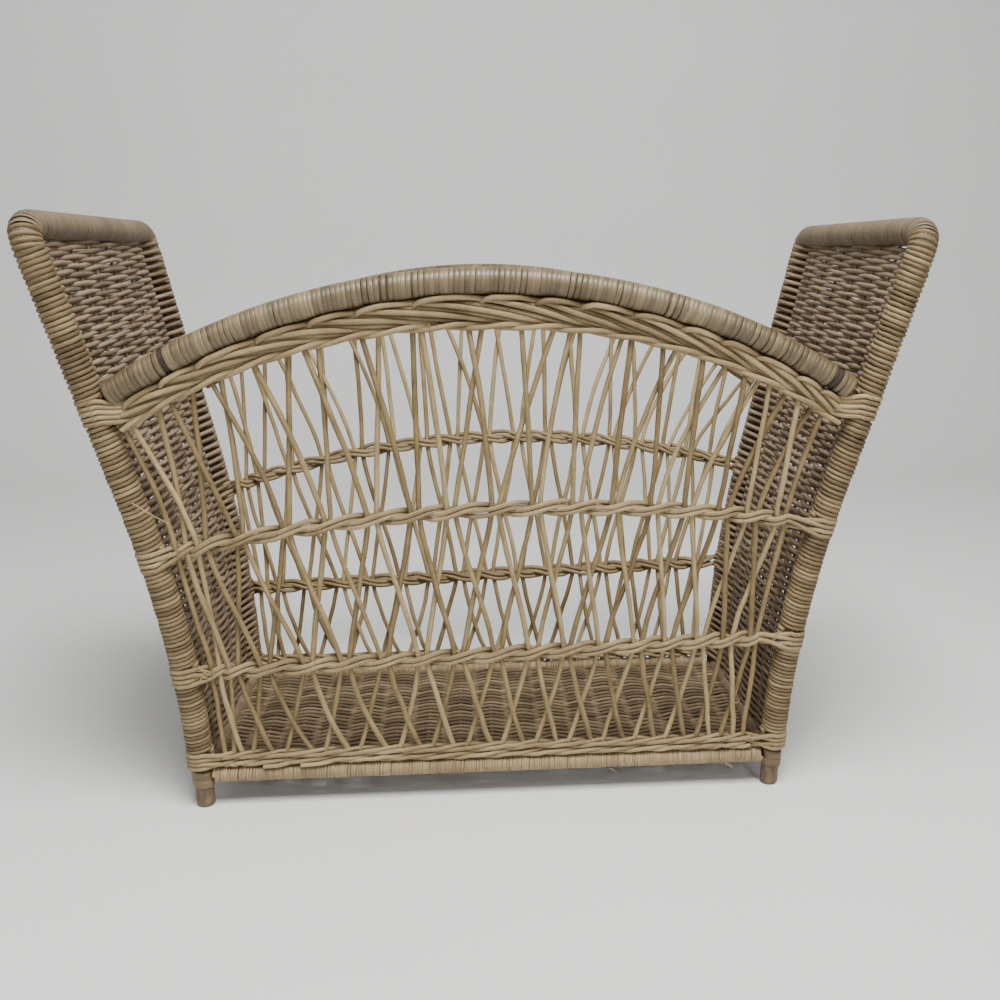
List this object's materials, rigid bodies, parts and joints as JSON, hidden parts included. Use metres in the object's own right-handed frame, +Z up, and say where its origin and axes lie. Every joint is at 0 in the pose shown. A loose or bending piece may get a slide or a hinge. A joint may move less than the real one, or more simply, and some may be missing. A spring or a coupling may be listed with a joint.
{
  "type": "magazine basket",
  "caption": "Flared woven rattan magazine basket with arched long sides of crossed open stakes, close-woven ends rising to bound handle bars, and a woven floor on short feet.",
  "frame": {"origin": "on the floor, in the middle of the four feet", "axes": "+X along the basket's length, towards the right handle bar; -Y towards its front; +Z up"},
  "size_m": [0.5222, 0.246, 0.3655],
  "materials": {
    "rattan_pole": "bare rattan pole with fine lengthwise grain and darker nodes, satin",
    "flat_peel": "flat glossy peel wound edge to edge, pale golden with darker seams",
    "round_reed": "round reed, golden tan with brown streaks along the fibre, satin",
    "woven_reed": "close plain weave of round reed, greyer brown and more matt than the poles"
  },
  "bodies": {
    "root": {"arch_binding_front": "flat_peel", "arch_binding_rear": "flat_peel", "arch_lashing_front_left": "round_reed", "arch_lashing_front_right": "round_reed", "arch_lashing_rear_left": "round_reed", "arch_lashing_rear_right": "round_reed", "arch_pole_front": "rattan_pole", "arch_pole_rear": "rattan_pole", "base_mat": "woven_reed", "base_rail_binding_front": "flat_peel", "base_rail_binding_rear": "flat_peel", "base_rail_front": "rattan_pole", "base_rail_left": "rattan_pole", "base_rail_rear": "rattan_pole", "base_rail_right": "rattan_pole", "bottom_wale_front": "round_reed", "bottom_wale_rear": "round_reed", "end_mat_left": "woven_reed", "end_mat_right": "woven_reed", "foot_lashing_front_left": "flat_peel", "foot_lashing_front_right": "flat_peel", "foot_lashing_rear_left": "flat_peel", "foot_lashing_rear_right": "flat_peel", "handle_binding_left": "flat_peel", "handle_binding_right": "flat_peel", "handle_pole_left": "rattan_pole", "handle_pole_right": "rattan_pole", "lattice_strip_front_1": "round_reed", "lattice_strip_front_2": "round_reed", "lattice_strip_front_3": "round_reed", "lattice_strip_front_4": "round_reed", "lattice_strip_front_5": "round_reed", "lattice_strip_front_6": "round_reed", "lattice_strip_front_7": "round_reed", "lattice_strip_front_8": "round_reed", "lattice_strip_front_9": "round_reed", "lattice_strip_rear_1": "round_reed", "lattice_strip_rear_2": "round_reed", "lattice_strip_rear_3": "round_reed", "lattice_strip_rear_4": "round_reed", "lattice_strip_rear_5": "round_reed", "lattice_strip_rear_6": "round_reed", "lattice_strip_rear_7": "round_reed", "lattice_strip_rear_8": "round_reed", "lattice_strip_rear_9": "round_reed", "lower_twined_row_front": "round_reed", "lower_twined_row_rear": "round_reed", "plaited_border_front": "round_reed", "plaited_border_rear": "round_reed", "post_front_left": "rattan_pole", "post_front_right": "rattan_pole", "post_rear_left": "rattan_pole", "post_rear_right": "rattan_pole", "post_winding_front_left": "round_reed", "post_winding_front_right": "round_reed", "post_winding_rear_left": "round_reed", "post_winding_rear_right": "round_reed", "upper_twined_row_front": "round_reed", "upper_twined_row_rear": "round_reed"}
  },
  "joints": []
}
